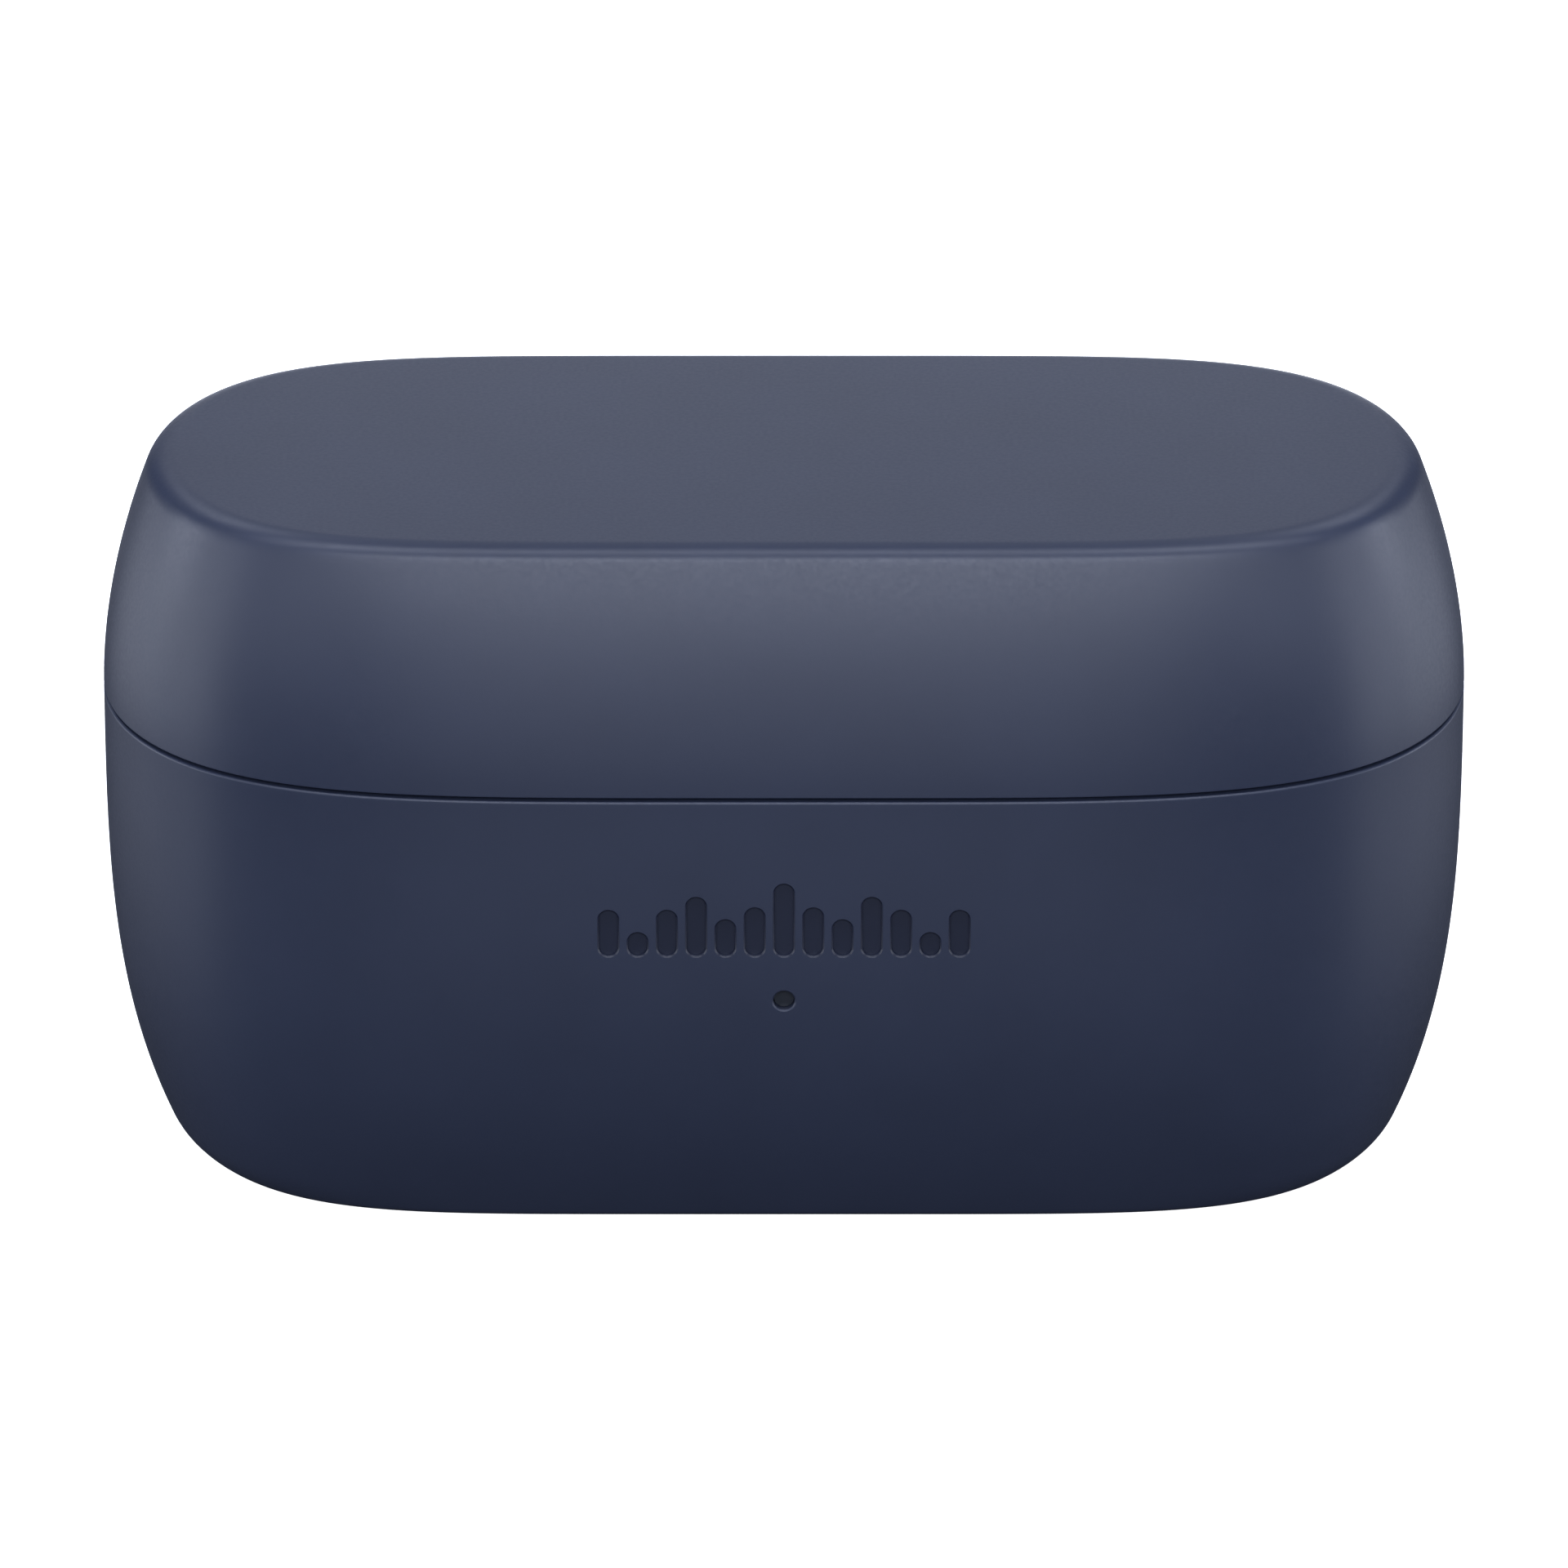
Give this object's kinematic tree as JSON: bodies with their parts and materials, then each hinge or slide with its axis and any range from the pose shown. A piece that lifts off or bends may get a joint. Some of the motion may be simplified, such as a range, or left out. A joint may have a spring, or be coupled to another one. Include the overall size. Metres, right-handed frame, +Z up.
{
  "type": "wireless earbuds charging case",
  "caption": "Pocket charging case with a rear-hinged lid that opens on shaped earbud pockets with sprung contacts.",
  "frame": {"origin": "centre of the flat bottom face", "axes": "+X along the case's width, -Y out of the front with the status light, +Y towards the hinge and the charging port, +Z up"},
  "size_m": [0.0642, 0.0288, 0.0346],
  "materials": {
    "navy_shell": "satin soft-touch moulded navy plastic",
    "inner_trim": "fine-textured dark navy plastic",
    "foam": "double-sided adhesive foam",
    "battery_foil": "laminated foil pouch",
    "circuit_board": "green solder mask",
    "red_wire": "silicone wire jacket",
    "black_wire": "silicone wire jacket",
    "white_plastic": "nylon connector",
    "black_plastic": "moulded epoxy",
    "steel": "plated steel",
    "hinge_metal": "dark coated zinc casting",
    "ferrite": "pressed ferrite",
    "ceramic_parts": "ceramic chip parts with tinned ends",
    "clear_plastic": "polished clear polycarbonate",
    "flex_film": "polyimide film",
    "nickel": "nickel-plated magnet",
    "gold": "gold-plated brass"
  },
  "bodies": {
    "base": {"base_shell": "navy_shell", "cradle_tray": "inner_trim", "battery_pad": "foam", "battery_cell": "battery_foil", "battery_board": "circuit_board", "battery_lead_positive": "red_wire", "battery_lead_negative": "black_wire", "battery_plug": "white_plastic", "battery_socket": "white_plastic", "main_board": "circuit_board", "board_screws": "steel", "usb_shell": "steel", "usb_insulator": "black_plastic", "charger_chip": "black_plastic", "controller_chip": "black_plastic", "power_inductor": "ferrite", "board_capacitors": "ceramic_parts", "status_led": "white_plastic", "light_pipe": "clear_plastic", "hall_flex": "flex_film", "hall_sensor": "black_plastic", "contact_block_left": "black_plastic", "contact_block_right": "black_plastic", "contact_barrel_left_inner": "gold", "contact_barrel_left_outer": "gold", "contact_barrel_right_inner": "gold", "contact_barrel_right_outer": "gold", "contact_spring_left_inner": "steel", "contact_spring_left_outer": "steel", "contact_spring_right_inner": "steel", "contact_spring_right_outer": "steel", "bud_magnet_left": "nickel", "bud_magnet_right": "nickel", "base_closure_magnet": "nickel", "base_hinge_bracket": "hinge_metal", "base_hinge_screws": "steel", "hinge_pin": "steel"},
    "lid": {"lid_shell": "navy_shell", "lid_liner": "inner_trim", "lid_hinge_bracket": "hinge_metal", "lid_hinge_screws": "steel", "lid_closure_magnet": "nickel", "lid_sensor_magnet": "nickel"},
    "contact_plunger_left_inner": {"contact_plunger_left_inner": "gold"},
    "contact_plunger_left_outer": {"contact_plunger_left_outer": "gold"},
    "contact_plunger_right_inner": {"contact_plunger_right_inner": "gold"},
    "contact_plunger_right_outer": {"contact_plunger_right_outer": "gold"}
  },
  "joints": [
    {"name": "lid_hinge", "type": "hinge", "parent": "base", "child": "lid", "pos_m": [0, 0.01342, 0.023], "axis": [-1, 0, 0], "range_deg": [0, 100]},
    {"name": "contact_plunger_left_inner_travel", "type": "slide", "parent": "base", "child": "contact_plunger_left_inner", "axis": [0, 0, -1], "range_m": [0, 0.0008], "stiffness_N_per_m": 600, "springref_m": -0.0006, "deforming": ["contact_spring_left_inner"]},
    {"name": "contact_plunger_left_outer_travel", "type": "slide", "parent": "base", "child": "contact_plunger_left_outer", "axis": [0, 0, -1], "range_m": [0, 0.0008], "stiffness_N_per_m": 600, "springref_m": -0.0006, "deforming": ["contact_spring_left_outer"]},
    {"name": "contact_plunger_right_inner_travel", "type": "slide", "parent": "base", "child": "contact_plunger_right_inner", "axis": [0, 0, -1], "range_m": [0, 0.0008], "stiffness_N_per_m": 600, "springref_m": -0.0006, "deforming": ["contact_spring_right_inner"]},
    {"name": "contact_plunger_right_outer_travel", "type": "slide", "parent": "base", "child": "contact_plunger_right_outer", "axis": [0, 0, -1], "range_m": [0, 0.0008], "stiffness_N_per_m": 600, "springref_m": -0.0006, "deforming": ["contact_spring_right_outer"]}
  ]
}
